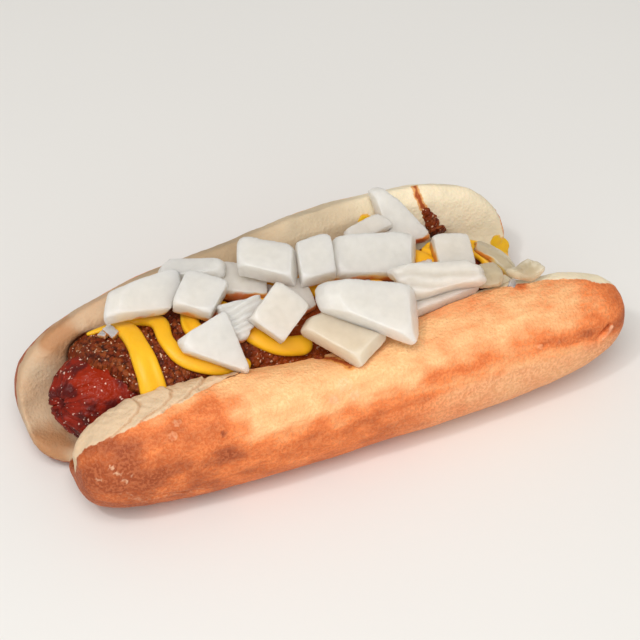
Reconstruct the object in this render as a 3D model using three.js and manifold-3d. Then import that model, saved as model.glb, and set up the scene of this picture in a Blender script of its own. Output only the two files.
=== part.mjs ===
// A dressed hot dog: a side-sliced bun opened on its hinge, a frankfurter in the fold, meat
// sauce over the frankfurter, a zigzag of mustard fused to the sauce, and a heap of coarsely
// diced onion. Millimetres, +Z up. X runs along the bun, -Y is the lower half of the bun and
// +Y the higher one. The origin is on the table, under the fold.
import * as THREE from "three";
import { mergeVertices } from "three/addons/utils/BufferGeometryUtils.js";
import Module from "manifold-3d";

const wasm = await Module();
wasm.setup();

// ---- Driving dimensions ----------------------------------------------------------------

const CLEARANCE = 0.35; // left between pieces that touch
const WELD = 0.001; // vertices nearer than this are one

const BUN = {
  around: 26, // facets round a half
  along: 30, // facets from nose to nose
  flare: 0.0014, // share that the fold opens further for each mm towards +X
  crown: 0.5, // height of the low swells in the crust
  crownSize: 46, // their breadth
};

// Each half's section at mid-length, clockwise seen from +X, as [y, z]. The undersides reach
// below the table, and are then pressed flat on it.
const LOWER_HALF = {
  nose: [-68.1, 73.2], // x of its two noses
  bluntness: [3.8, 3.4], // superellipse power of the plan outline towards each nose
  core: [[-18, 15.3], [-20.2, 19.6]], // y, z that the section shrinks to at each nose
  section: [
    [-10.4, 27.7], [-12, 21.5], [-11.8, 15], [-7.5, 8.2], [2.5, 5], [2.5, -1.4],
    [-8, -1.4], [-19.2, -1.4], [-27.1, 3.2], [-31.7, 10.3], [-31.4, 19.4], [-26.6, 26.8],
    [-19.5, 29.6], [-13.8, 29.4],
  ],
  // Pushes on its upper edge: where, how far along, and how far outwards and down at most. The
  // toppings push it open at mid-length, and its torn lip stands inwards and up near the -X nose.
  pushes: [
    { at: 0, reach: 25, out: 4.1, down: 2.2 },
    { at: -50, reach: 16, out: -1, down: -0.7 },
  ],
};
// A push grows from none to all of it between two heights and between two places in y.
const PUSH_RANGE = { heights: [14, 27], across: [-26, -14] };
const HIGHER_HALF = {
  nose: [-72.6, 62],
  bluntness: [3.5, 2.6],
  core: [[8.7, 14.1], [14.2, 7.8]],
  section: [
    [20.7, 36.3], [26.7, 31.5], [32.6, 22.6], [33.4, 11.6], [29, 3], [20, -1.4],
    [8, -1.4], [-7.5, -1.4], [-7.1, 4.6], [8.5, 8.6], [13.2, 15.5], [14, 22],
    [15.4, 28.6], [17.6, 34.4],
  ],
  rise: 0.002, // share that it gets higher for each mm towards +X
};

const FRANK = {
  around: 28, // facets round it
  along: 33, // facets from tip to tip
  radius: 11.2,
  ends: [-68.3, 51], // x of its two tips
  axis: [1.2, 17], // y, z of its middle
  tilt: -1.9, // how much lower its +X tip lies than its middle
  bow: 0.4, // how far the ends rise above the middle
  pucker: 2.6, // depth of the drawn-in skin at a tip
  folds: 7, // folds of skin round a tip
  foldDepth: 0.05, // as a share of the radius
};

// The sauce is told by its angle from straight up, in degrees, with -Y on the minus side.
const SAUCE = {
  around: 26, // facets round it
  along: 38, // facets from end to end
  ends: [-61.5, 50],
  roundEnd: 7, // length over which an end rounds off
  thickness: 2.2, // over the top of the frankfurter
  side: 2.4, // further thickness against the higher half
  sideAngles: [20, 70], // angles between which that thickness grows
  edge: [-98, 104], // angles where it runs out
  // Near the -X end the frankfurter is left bare: between these x the lower edge comes down from
  // the angle `edge` here to the one above.
  bare: { along: [-62, -42], edge: 10 },
  fade: [-10, 22], // angles inside an edge between which it thickens
  dive: 4, // how deep it lies under the frankfurter's skin beyond its edges
  lump: 0.5, // height of its lumps
  lumpSize: 9, // their breadth
};

// Strokes of mustard, each through [x, angle] on the sauce, from turn to turn.
const MUSTARD = {
  around: 6, // facets round a stroke
  step: 3.9, // length of a facet along it
  width: 5.6,
  height: 2.8,
  sunk: 0.6, // how deep its underside lies in the sauce
  strokes: [
    [[-53, 44], [-48.5, 42], [-45.3, 26], [-45, -6], [-45.1, -36], [-45.4, -60]],
    [[-49, 40], [-41, 41], [-37.4, 22], [-38.1, -8], [-35.8, -34], [-29.7, -48], [-22.5, -55]],
    [[-22.5, -54], [-26, -28], [-30.8, -4], [-29.5, 20], [-27.5, 38]],
    [[-27, 38], [-22.5, 20], [-20.2, -8], [-17.8, -34], [-13.5, -53], [-4, -60]],
    [[-4, -60], [-6.5, -28], [-8.5, 6], [-9.5, 34]],
    [[-9, 33], [-2, 27], [3.5, -6], [8.5, -44], [17.5, -60]],
    [[17.5, -58], [15.5, -22], [13, 8], [12, 36]],
    [[12.5, 34], [21.5, 30], [29, -2], [32.5, -34], [39, -54]],
    [[39, -53], [38, -20], [36.5, 8], [35.5, 34]],
    [[36.5, 33], [42, 28], [44.5, 0], [46, -30], [46.5, -46]],
  ],
};

// Onion, in the order it lands. at: x, y of the middle of its upper face. turned: degrees about
// its own upright, then its slope down towards -Y and towards +X. size: length, width, thickness.
// taper: width at its second end as a share of the first. slant: how far its sides lean along
// its length, in mm. curl: how far its middle stands above its ends.
const ONIONS = [
  { at: [-14.5, 9], turned: [-33, 4, 0], size: [12, 8.5, 4], taper: 0.8, slant: -1.5, curl: 0.6 },
  { at: [-25.2, 14.2], turned: [-26, 3, 0], size: [13, 5, 3], taper: 1, slant: 2, curl: 0.8 },
  { at: [0.5, -17.2], turned: [-48, 12, 0], size: [16.5, 8.6, 4.5], taper: 1.5, slant: 2, curl: 1 },
  { at: [29.2, -12.2], turned: [0, 12, 0], size: [17.5, 5, 3.5], taper: 0.8, slant: 2, curl: 0.4 },
  { at: [46.9, -6.1], turned: [-62, 14, 5], size: [13, 3.8, 2.8], taper: 1.1, slant: -1, curl: 0.8 },
  { at: [41.8, -12], turned: [-95, 24, 0], size: [6.4, 6.5, 2.6], taper: 1.2, slant: 0, curl: 0.5 },
  { at: [50.2, -14.3], turned: [7, 6, 8], size: [8.6, 4.6, 2.6], taper: 1.4, slant: -2, curl: -1.6 },
  { at: [28.4, 11.6], turned: [-76, 38, 5], size: [15, 7, 4], taper: 2.6, slant: 3, curl: 1.4 },
  { at: [19.6, 9.9], turned: [12, 18, 0], size: [9, 4.2, 2.2], taper: 0.9, slant: -2, curl: 0.6 },
  { at: [17.2, 1], turned: [-16, 22, 0], size: [21.5, 10.5, 6], taper: 1.05, slant: 1, curl: 1.4 },
  { at: [-19.7, -3.7], turned: [-97, 28, 0], size: [9, 8.5, 4], taper: 0.5, slant: -1, curl: 1.4 },
  { at: [-12.1, -8.6], turned: [36, 34, 0], size: [11.2, 9.8, 4.5], taper: 1, slant: 0, curl: 0.8 },
  { at: [-3.5, -1.8], turned: [-77, 28, 0], size: [8, 4.2, 3], taper: 0.6, slant: 0, curl: 0.4 },
  { at: [-8.6, 7.6], turned: [-38, 6, 0], size: [14.5, 9, 4.5], taper: 1.15, slant: -1.4, curl: 1.2 },
  { at: [2.4, 2.8], turned: [-104, 15, 0], size: [11, 8.9, 4.5], taper: 1, slant: -1.5, curl: 1 },
  { at: [-40, 9.6], turned: [-6, 14, 0], size: [16.5, 8.8, 4.5], taper: 1.15, slant: 5, curl: 1.2 },
  { at: [-27, 4.6], turned: [46, 12, 0], size: [10.5, 10, 5], taper: 1.15, slant: -0.7, curl: 1 },
  { at: [-29.3, -9.2], turned: [-9, 32, 0], size: [12.2, 10.4, 4], taper: 3, slant: -3, curl: 0.6 },
  { at: [36.2, -3.6], turned: [-102, 18, 0], size: [9.5, 9, 5.5], taper: 1, slant: 0.7, curl: 0.8 },
  { at: [28, -12], turned: [-5, 25, 0], size: [19.5, 7, 4.5], taper: 0.8, slant: -4, curl: 1.2 },
  { at: [7.8, -16.2], turned: [-32, 18, 0], size: [23, 10.8, 5], taper: 1.9, slant: -2.5, curl: 2.2 },
];
const ONION_CUT = {
  facets: [4, 4, 2], // along, across and through a piece
  rounding: 0.22, // share by which its corners are drawn in
  unevenness: 0.35, // greatest wander of a corner
  settling: 0.5, // by how much a piece is grown while it is lowered on to the heap
  from: 56, // height that it is lowered from
  steps: [2, 0.4, 0.1], // coarse, then fine
  seed: 41,
};

const FINISH = {
  bun: { color: 0xe9a06a, roughness: 0.75 },
  frankfurter: { color: 0x7c2414, roughness: 0.35 },
  sauce: { color: 0x7f401e, roughness: 0.4 },
  onion: { color: 0xe9e5d8, roughness: 0.3 },
};

// ---- Helpers ---------------------------------------------------------------------------

const RANDOM = { factor: 16807, modulus: 2147483647 };

// The same numbers every run, from one seed.
function randomFrom(seed) {
  let state = seed;
  return () => {
    state = (state * RANDOM.factor) % RANDOM.modulus;
    return state / RANDOM.modulus;
  };
}

const { lerp: mix, smoothstep } = THREE.MathUtils;

// Low swells and hollows from -1 to 1 over the surface, about `size` mm across.
function swell(x, y, z, size) {
  const k = (2 * Math.PI) / size;
  const a = Math.sin(k * (x + 0.4 * y) + 1.3) * Math.cos(k * (0.9 * y - 0.3 * z));
  const b = Math.sin(k * (0.7 * x - 0.5 * z) + 4.1) * Math.cos(k * (1.1 * z + 0.35 * x));
  return 0.5 * (a + b);
}

// A closed skin from end to end: a sphere's grid, with each vertex moved to place(a, t), where
// a runs once round the section from 0 to 1 and t from the -X end to the +X end.
function skin(around, along, place) {
  const sphere = new THREE.SphereGeometry(1, around, along);
  const { position, uv } = sphere.attributes;
  for (let i = 0; i < position.count; i++) {
    const p = place(uv.getX(i), 1 - uv.getY(i));
    position.setXYZ(i, p.x, p.y, p.z);
  }
  return welded(sphere);
}

// Only positions, with vertices that share a place merged into one.
function welded(geometry) {
  const bare = geometry.clone();
  bare.deleteAttribute("normal");
  bare.deleteAttribute("uv");
  return mergeVertices(bare, WELD);
}

// The same closed surface moved outwards by `by` mm all over.
function grown(geometry, by) {
  const bigger = welded(geometry);
  bigger.computeVertexNormals();
  const { position, normal } = bigger.attributes;
  for (let i = 0; i < position.count; i++) {
    position.setXYZ(
      i,
      position.getX(i) + by * normal.getX(i),
      position.getY(i) + by * normal.getY(i),
      position.getZ(i) + by * normal.getZ(i),
    );
  }
  return bigger;
}

function solid(geometry) {
  const closed = welded(geometry);
  return new wasm.Manifold(
    new wasm.Mesh({
      numProp: 3,
      vertProperties: closed.attributes.position.array,
      triVerts: new Uint32Array(closed.index.array),
    }),
  );
}

function geometryOf(manifold) {
  const mesh = manifold.getMesh();
  return new THREE.BufferGeometry()
    .setAttribute("position", new THREE.BufferAttribute(mesh.vertProperties, 3))
    .setIndex(new THREE.BufferAttribute(mesh.triVerts, 1));
}

// The outer skin of the largest body, without loose scraps or sealed hollows.
function wholeBody(manifold) {
  const bodies = manifold.decompose();
  return bodies.reduce((best, body) => (body.volume() > best.volume() ? body : best));
}

// ---- Bun -------------------------------------------------------------------------------

// Pushes a place on the upper edge outwards and down.
function pushEdge(place, { at, reach, out, down }) {
  const share = Math.exp(-(((place.x - at) / reach) ** 2)) *
    smoothstep(place.z, ...PUSH_RANGE.heights) * smoothstep(place.y, ...PUSH_RANGE.across);
  place.y -= out * share;
  place.z -= down * share;
}

function bunHalf({ nose, bluntness, core, section, rise = 0, pushes = [] }) {
  const outline = new THREE.CatmullRomCurve3(
    section.map(([y, z]) => new THREE.Vector3(0, y, z)),
    true,
    "centripetal",
  );
  const middle = (nose[0] + nose[1]) / 2;
  const reach = (nose[1] - nose[0]) / 2;
  return skin(BUN.around, BUN.along, (a, t) => {
    const along = -Math.cos(Math.PI * t);
    const x = middle + reach * along;
    const power = along < 0 ? bluntness[0] : bluntness[1];
    const fullness = (1 - Math.abs(along) ** power) ** (1 / power);
    const rim = outline.getPointAt((a + 1) % 1);
    const [coreY, coreZ] = core[along < 0 ? 0 : 1];
    const y = mix(coreY, rim.y, fullness) * (1 + BUN.flare * x);
    const z = mix(coreZ, rim.z, fullness) * (1 + rise * x);
    const crown = BUN.crown * fullness * swell(x, y, z, BUN.crownSize);
    const place = new THREE.Vector3(x, y + crown * Math.sign(y), z + crown);
    pushes.forEach((push) => pushEdge(place, push));
    place.z = Math.max(place.z, 0);
    return place;
  });
}

// ---- Frankfurter -----------------------------------------------------------------------

const frankLength = FRANK.ends[1] - FRANK.ends[0];
const frankMiddle = (FRANK.ends[0] + FRANK.ends[1]) / 2;

// The point `radius` mm from the frankfurter's middle line at x, `angle` degrees from straight
// up, with -Y on the minus side.
function aroundFrank(x, angle, radius) {
  const share = (x - frankMiddle) / (frankLength / 2);
  const turn = THREE.MathUtils.degToRad(angle);
  return new THREE.Vector3(
    x,
    FRANK.axis[0] + radius * Math.sin(turn),
    FRANK.axis[1] + FRANK.tilt * share + FRANK.bow * share ** 2 + radius * Math.cos(turn),
  );
}

function frankfurter() {
  const { radius, pucker, folds, foldDepth } = FRANK;
  return skin(FRANK.around, FRANK.along, (a, t) => {
    const along = -Math.cos(Math.PI * t);
    const x = frankMiddle + (frankLength / 2) * along;
    const toTip = frankLength / 2 - Math.abs(x - frankMiddle);
    // Round shoulders a radius long, and a tip drawn in towards the knot of the casing.
    const round = Math.sqrt(1 - (1 - Math.min(toTip / radius, 1)) ** 2);
    const drawnIn = pucker * (1 - round) ** 2 * Math.sign(along);
    const fold = 1 + foldDepth * (1 - round) * Math.cos(2 * Math.PI * folds * a);
    const spot = aroundFrank(x, 360 * a, radius * round * fold);
    spot.x -= drawnIn;
    return spot;
  });
}

// ---- Meat sauce and mustard ------------------------------------------------------------

// How far the sauce's surface is from the frankfurter's middle line. Beyond its edges it dives
// under the skin of the frankfurter, which is cut out of it.
function sauceRadius(x, angle) {
  const [start, end] = SAUCE.ends;
  const near = mix(SAUCE.bare.edge, SAUCE.edge[0], smoothstep(x, ...SAUCE.bare.along));
  const inside = Math.min(angle - near, SAUCE.edge[1] - angle);
  const cover = smoothstep(inside, ...SAUCE.fade);
  const side = SAUCE.side * smoothstep(angle, ...SAUCE.sideAngles);
  const toEnd = Math.min(x - start, end - x) / SAUCE.roundEnd;
  const full = Math.sqrt(1 - (1 - Math.min(toEnd, 1)) ** 2);
  return (FRANK.radius - SAUCE.dive + (SAUCE.dive + SAUCE.thickness + side) * cover) * full;
}

function sauce() {
  const [start, end] = SAUCE.ends;
  return skin(SAUCE.around, SAUCE.along, (a, t) => {
    const x = mix(start, end, (1 - Math.cos(Math.PI * t)) / 2);
    const angle = 360 * a > 180 ? 360 * a - 360 : 360 * a;
    const radius = sauceRadius(x, angle);
    const { y, z } = aroundFrank(x, angle, radius);
    // The lumps die away where the sauce narrows to its ends.
    const share = Math.min(radius / FRANK.radius, 1);
    return aroundFrank(x, angle, radius + SAUCE.lump * share * swell(x, y, z, SAUCE.lumpSize));
  });
}

// One stroke: a low round bead, laid flat on the sauce.
function mustardStroke(turns) {
  const { width, height, sunk } = MUSTARD;
  const radius = FRANK.radius + SAUCE.thickness - sunk + height / 2;
  const path = new THREE.CatmullRomCurve3(
    turns.map(([x, angle]) => aroundFrank(x, angle, radius)),
    false,
    "centripetal",
  );
  const steps = Math.round(path.getLength() / MUSTARD.step);
  return skin(MUSTARD.around, steps, (a, t) => {
    const middle = path.getPointAt(t);
    const ahead = path.getTangentAt(t);
    const up = middle.clone().sub(aroundFrank(middle.x, 0, 0)).normalize();
    const side = new THREE.Vector3().crossVectors(ahead, up).normalize();
    const toEnd = Math.min(t, 1 - t) * path.getLength() / (width / 2);
    const full = Math.sqrt(1 - (1 - Math.min(toEnd, 1)) ** 2);
    const angle = 2 * Math.PI * a;
    return middle
      .addScaledVector(side, (width / 2) * full * Math.cos(angle))
      .addScaledVector(up, (height / 2) * full * Math.sin(angle));
  });
}

// ---- Onion -----------------------------------------------------------------------------

// One piece, lying at height 0 with the middle of its upper face over its place.
function onion({ at, turned, size, taper, slant, curl }, random) {
  const [length, width, thickness] = size;
  const { facets, rounding, unevenness } = ONION_CUT;
  const slab = welded(new THREE.BoxGeometry(2, 2, 2, ...facets));
  const { position } = slab.attributes;
  const wander = () => unevenness * (2 * random() - 1);
  for (let i = 0; i < position.count; i++) {
    const [u, v, w] = [position.getX(i), position.getY(i), position.getZ(i)];
    // A corner of the box has u, v and w at their limits, and is drawn in the most.
    const drawn = (other, another) => 1 - rounding * (other * other + another * another) / 2;
    const wide = (width / 2) * mix(2, 2 * taper, (u + 1) / 2) / (1 + taper);
    const lift = curl * (1 - u * u) - curl / 2;
    position.setXYZ(
      i,
      (length / 2) * u * drawn(v, w) + (slant / 2) * v + wander(),
      wide * v * drawn(u, w) + wander(),
      (thickness / 2) * (w * drawn(u, v) - 1) + lift + wander() / 2,
    );
  }
  const [yaw, near, right] = turned.map(THREE.MathUtils.degToRad);
  const pose = new THREE.Matrix4().makeRotationFromEuler(new THREE.Euler(near, right, yaw));
  pose.setPosition(at[0], at[1], 0);
  return slab.applyMatrix4(pose);
}

// The piece lowered in steps until, grown by the settling gap, it would touch the heap.
function settled(piece, heap) {
  const { settling, from, steps } = ONION_CUT;
  const roomy = grown(piece, settling);
  const isClear = (z) => solid(roomy.clone().translate(0, 0, z)).intersect(heap).isEmpty();
  let height = from;
  for (const step of steps) {
    while (isClear(height - step)) height -= step;
  }
  return piece.translate(0, 0, height);
}

// ---- Assembly --------------------------------------------------------------------------

const group = new THREE.Group();

function piece(name, geometry, finish) {
  const material = new THREE.MeshStandardMaterial({ ...finish, metalness: 0 });
  const mesh = new THREE.Mesh(geometry, material);
  mesh.name = name;
  group.add(mesh);
}

const frank = frankfurter();
const frankRoom = solid(grown(frank, CLEARANCE));
const bareSauce = solid(sauce()).subtract(frankRoom);
const strokes = MUSTARD.strokes.map((turns) => mustardStroke(turns));
const dressingRoom = strokes.reduce(
  (all, stroke) => all.add(solid(grown(stroke, CLEARANCE))),
  solid(grown(sauce(), CLEARANCE)),
);
const halves = solid(bunHalf(LOWER_HALF)).add(solid(bunHalf(HIGHER_HALF)));
const bun = wholeBody(halves.subtract(frankRoom).subtract(dressingRoom));

// The onion lands on the sauce and the pieces below it, and sinks through the mustard.
const random = randomFrom(ONION_CUT.seed);
let heap = bun.add(solid(frank)).add(bareSauce);
let dressing = strokes.reduce((all, stroke) => all.add(solid(stroke)), bareSauce);
const onions = ONIONS.map((cut) => {
  const shape = settled(onion(cut, random), heap);
  heap = heap.add(solid(shape));
  dressing = dressing.subtract(solid(grown(shape, ONION_CUT.settling)));
  return shape;
});

piece("bun", geometryOf(bun), FINISH.bun);
piece("frankfurter", frank, FINISH.frankfurter);
piece("sauce", geometryOf(wholeBody(dressing)), FINISH.sauce);
onions.forEach((shape, i) => {
  piece(`onion_${String(i + 1).padStart(2, "0")}`, shape, FINISH.onion);
});

export default group;
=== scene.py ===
"""A dressed hot dog: a split bun, a frankfurter, meat sauce, mustard and diced onion."""

import math
import random

import bpy
import numpy as np
from mathutils import Matrix, Vector
from mathutils.bvhtree import BVHTree
from mathutils.noise import noise, voronoi


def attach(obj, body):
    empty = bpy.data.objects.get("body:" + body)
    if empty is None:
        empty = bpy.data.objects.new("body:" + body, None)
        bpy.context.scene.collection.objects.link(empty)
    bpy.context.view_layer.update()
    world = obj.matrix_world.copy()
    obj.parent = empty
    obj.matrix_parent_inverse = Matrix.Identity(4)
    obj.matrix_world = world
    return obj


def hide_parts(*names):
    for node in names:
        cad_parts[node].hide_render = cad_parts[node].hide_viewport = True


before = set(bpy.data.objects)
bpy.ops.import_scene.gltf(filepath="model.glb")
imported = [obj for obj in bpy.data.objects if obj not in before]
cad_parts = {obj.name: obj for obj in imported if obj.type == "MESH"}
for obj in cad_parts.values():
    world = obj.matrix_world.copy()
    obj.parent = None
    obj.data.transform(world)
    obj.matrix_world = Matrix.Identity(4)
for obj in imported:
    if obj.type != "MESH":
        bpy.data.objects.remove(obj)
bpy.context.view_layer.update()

bl_info = {
    "name": "Dressed hot dog",
    "version": (1, 0, 0),
    "blender": (4, 5, 0),
    "location": "3D View > Sidebar > Hot dog",
    "description": "Makes a hot dog with meat sauce, mustard and diced onion",
    "category": "Add Mesh",
}

MM = 0.001
ONIONS = sorted(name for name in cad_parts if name.startswith("onion_"))

# ---- The bun's marks, all in mm -----------------------------------------------------------

# Where the cut face meets the crust, as (x, y) seen from above: on the half that lies lower, and
# behind the crest of the half that stands higher.
CUT_EDGE_LOW = [
    (-70, -16.2), (-67.8, -17), (-63.7, -17.8), (-58.9, -18.9), (-54.2, -19), (-48, -19.1),
    (-45.3, -17.6), (-41, -17.8), (-36.3, -16.3), (-31.3, -15.3), (-27.8, -13.6), (-20, -12.2),
    (-7, -13.6), (10, -14.2), (24, -13.4), (39, -13), (50, -15.1), (60, -17.2), (68, -21), (73, -21),
]
CUT_EDGE_HIGH = [
    (-75, 10), (-70, 16), (-66, 18.5), (-59, 21), (-42, 23.4), (-20, 25), (20, 26.8),
    (38, 26.8), (50, 24.5), (58, 20.5), (62, 15),
]
# The torn strip of crumb beside the frankfurter: where each layer ends, as (y, x), and a crack.
TORN_LAYERS = [
    [(-18.6, -52), (-17.8, -49), (-16.8, -45.6), (-15.5, -43.4), (-13.6, -42.3), (-11, -42.9), (-8, -44.5)],
    [(-18, -46), (-17, -40.5), (-15.4, -38), (-14.2, -35.6), (-12, -33.6), (-9, -32.4)],
    [(-19, -60), (-17.6, -55), (-16, -52), (-14.6, -50.6), (-12.6, -50.6), (-9, -52)],
]
CRACK = [
    (-35.6, -15.3, 29.2), (-32.3, -15, 29.1), (-29.4, -14.6, 29), (-26.8, -14.4, 28.8), (-24.4, -13.4, 28),
]
# Creases of the crust, each with its depth.
CREASES = [
    ([(53.4, -32, 20.6), (58.2, -32.1, 19.7), (62.7, -31.7, 18.3)], 0.5),
    ([(-55.7, -27.4, 11.4), (-51.7, -28.1, 12), (-46.9, -28.6, 11), (-41.8, -28.8, 9.7)], 0.3),
    ([(-60, -26.6, 15), (-57, -27.6, 12.5), (-54.5, -28, 9.5)], 0.3),
]
TEAR = [(62.4, -31.6, 19), (64.4, -31, 19.9), (66.1, -30.3, 20.4)]  # a slit near the +X nose
TEAR_FLAP = [(63.6, -31.5, 18.2), (65.6, -30.8, 18.9), (66.8, -30.1, 19.8)]

# The darker band along the lower half's side, as (x, z), and its darkest stretch.
BAND = [
    (-60, 17.6), (-46, 18.9), (-30, 19.5), (-17, 20.2), (-5, 20.4), (9, 22.2), (20, 22.8),
    (41, 23), (51, 21.9), (58, 21.3), (70, 19.5),
]
SCORCH = [(48, -30.8, 23.2), (51.9, -31, 22.6), (55.6, -31.3, 21.9), (59.5, -31.3, 21.3)]

# Spots, each with its place and radius.
BLISTERS = [
    (-44.2, -21.9, 27.6, 1.5), (-46.1, -24, 26.2, 1.6), (46, -31.2, 22.7, 1.15),
    (50.9, -31.3, 22.4, 0.85), (48.2, -31.3, 22.5, 0.5),
]
BROWN_SPOTS = [
    (-34.8, -26.7, 24.5, 0.9), (-58.6, 14.6, 26, 6), (-68.4, 1.6, 7.4, 6), (48.4, -15.9, 28.4, 2.2),
]
PALE_SPOTS = [
    (-3.5, -26.3, 26.7, 3.2), (-1.9, -28.3, 24.4, 2.4), (-6.9, -27.9, 24.6, 2.4), (5.9, -21.1, 28.2, 1.1),
]
SCUFFS = [
    [(-61.6, -23.4, 22.6), (-61.1, -24, 21.8)], [(-60.8, -24.6, 21), (-59.8, -25.3, 20.2)],
    [(-59.8, -25.8, 19.6), (-58.8, -26.4, 18.6)], [(-65.4, -23, 19.4), (-64.6, -23.5, 18.9)],
    [(-58.4, -26, 20.4), (-57.6, -26.4, 19.8)],
]

# Sauce on the bread: the streak up the higher half, and the smear over the lower half's rim.
SAUCE_STREAK = [
    (38, 22.6, 35.2), (37.3, 19.5, 33.8), (37.6, 17.6, 32), (38.7, 16.6, 29.2), (40.2, 15.8, 25.6),
    (41.4, 15.8, 22.4),
]
SAUCE_SMEAR = [(-5, -14.6, 26.4), (-3.2, -17.1, 27), (-1.8, -19.6, 28), (-0.4, -22.3, 28.2)]
# Dabs of sauce and of mustard on the bread, each with its place and breadth.
SAUCE_DABS = [
    (38.7, 16.6, 29.2, 1.2), (40.2, 15.8, 25.6, 2.2), (41.4, 15.8, 22.4, 2.8), (39.4, 16.2, 27.4, 1.6),
    (-5, -14.6, 26.4, 1.5),
]
MUSTARD_DABS = [(60.2, 14.4, 10.2, 2.7), (58.6, 15, 12.6, 1.7), (21.8, 16.8, 32.3, 1.9)]

# ---- The filling's marks -------------------------------------------------------------------
# A place round the frankfurter is told by x in mm and an angle in degrees from straight up, with
# -Y on the minus side.

MM_PER_DEGREE = 0.195  # round the frankfurter's skin
KNOT = (-65.6, -29)  # where the casing is tied
RED_PATCH = (-57.2, -25)  # where the casing is bare and taut
RED_PATCH_TILT = (0.685, 0.728)  # the cosine and sine of the way it runs over the skin
RED_PATCH_SIZE = (7.6, 4.6)  # along and across that way, in mm
SAUCE_ENDS = (-61.6, 50)
SAUCE_SIDE = -98  # where it ends on the lower half's side
SAUCE_FAR_SIDE = [(20, 104), (30, 34), (36, 26), (50, 16)]  # and on the higher one's, as (x, angle)
# Where the sauce ends towards the -X tip, as (angle, x).
SAUCE_EDGE = [
    (-98, -46), (-57, -49), (-48, -50.5), (-33, -52.2), (-13, -54.5), (-2, -57.6), (26, -59), (60, -60),
    (104, -60),
]
# Strokes of mustard, each through (x, angle, width).
MUSTARD_STROKES = [
    [(-54, 45, 1.4), (-48.8, 42, 3.8), (-45.3, 26, 5), (-45, -6, 5.2), (-45.1, -36, 6.2), (-45.4, -62, 7.4)],
    [(-49, 40, 4), (-41, 41, 4.8), (-37.4, 22, 4.3), (-38.1, -8, 3.8), (-35.8, -31, 4), (-29.4, -46, 4.3),
     (-20.5, -54, 3.2)],
    [(-22.5, -53, 2.8), (-26, -28, 4), (-30.8, -4, 4.6), (-29.5, 20, 4.6), (-27.5, 38, 4.4)],
    [(-27, 38, 4.4), (-22.5, 20, 4.4), (-20.2, -6, 4.5), (-17.6, -29, 4.6), (-12.6, -45, 4.8),
     (-4.5, -53, 5.4)],
    [(-10.5, -34, 4), (-11.5, -10, 4.6), (-12, 18, 4.6), (-9.5, 34, 5)],
    [(-9, 33, 5.4), (-2, 27, 5.6), (3.5, -6, 5.6), (8.5, -44, 5.6), (17.5, -60, 5.4)],
    [(17.5, -58, 5.4), (15.5, -22, 5.6), (13, 8, 5.6), (12, 36, 5.4)],
    [(12.5, 34, 5.4), (21.5, 30, 5.6), (29, -2, 5.6), (32.5, -34, 5.6), (39, -54, 5.4)],
    [(39, -53, 5.4), (37, -20, 5.2), (34, 4, 4.6), (32.5, 16, 4)],
    [(33, 14, 3.6), (39, 2, 4.6), (44.5, -12, 4.8), (46, -30, 4.8), (46.5, -46, 4)],
]
# Scraps of onion too small to be told apart, each with its place and radius.
ONION_SCRAPS = [
    (-9.7, 4.4, 32, 1.5), (-8.6, 5.8, 31.9, 0.9), (10.6, -1.5, 31.6, 1.9), (13.2, -3.2, 31.8, 1.4),
    (27.6, -4.4, 33, 2.3), (30.6, -5.6, 32.4, 1.6), (-48.6, 8, 31.4, 1.9), (-50.2, 9, 30.6, 1.3),
    (46.8, -14.6, 28.6, 1.2), (-24.6, 15.6, 32.6, 1.1),
]


# ---- Helpers -----------------------------------------------------------------------------


def linear(hex_code):
    """An sRGB hex colour as linear red, green and blue."""
    channels = [int(hex_code[i:i + 2], 16) / 255 for i in (0, 2, 4)]
    return tuple(c / 12.92 if c <= 0.04045 else ((c + 0.055) / 1.055) ** 2.4 for c in channels)


def rgba(colour):
    """A colour with full opacity."""
    return (*colour, 1)


def smooth(value, low, high):
    """0 at low, 1 at high, and a smooth rise between them."""
    share = min(max((value - low) / (high - low), 0), 1)
    return share * share * (3 - 2 * share)


def fade(value, low, high):
    """1 at low, 0 at high, and a smooth fall between them."""
    return 1 - smooth(value, low, high)


def hump(off, width):
    """1 where off is 0, and next to nothing from twice the width on."""
    return math.exp(-(off / width) ** 2)


def deselect():
    """Leaves object mode active and nothing selected."""
    if bpy.context.mode != "OBJECT":
        bpy.ops.object.mode_set(mode="OBJECT")
    bpy.ops.object.select_all(action="DESELECT")


def pick(piece):
    """Selects one piece alone and makes it the active one."""
    deselect()
    piece.select_set(True)
    bpy.context.view_layer.objects.active = piece


def finish_with(piece, kind, **settings):
    """Adds a modifier to a piece, sets it and applies it."""
    pick(piece)
    bpy.ops.object.modifier_add(type=kind)
    modifier = piece.modifiers[-1]
    for name, value in settings.items():
        setattr(modifier, name, value)
    bpy.ops.object.modifier_apply(modifier=modifier.name)


def copy_of(node, name):
    """A CAD node's twin, with its loose triangles merged, as a piece of its own."""
    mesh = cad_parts[node].data.copy()
    twin = bpy.data.objects.new(name, mesh)
    bpy.context.scene.collection.objects.link(twin)
    mesh.materials.clear()
    pick(twin)
    if mesh.has_custom_normals:
        bpy.ops.mesh.customdata_custom_splitnormals_clear()
    bpy.ops.object.mode_set(mode="EDIT")
    bpy.ops.mesh.select_all(action="SELECT")
    bpy.ops.mesh.remove_doubles(threshold=0.002 * MM)
    bpy.ops.object.mode_set(mode="OBJECT")
    return twin


def refine(piece, wanted, cuts):
    """Cuts the edges of each face whose middle is a wanted place."""
    pick(piece)
    bpy.ops.object.mode_set(mode="EDIT")
    bpy.ops.mesh.select_mode(type="FACE")
    bpy.ops.mesh.select_all(action="DESELECT")
    bpy.ops.object.mode_set(mode="OBJECT")
    for face in piece.data.polygons:
        face.select = wanted(face.center / MM)
    bpy.ops.object.mode_set(mode="EDIT")
    bpy.ops.mesh.subdivide(number_cuts=cuts)
    bpy.ops.object.mode_set(mode="OBJECT")


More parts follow.
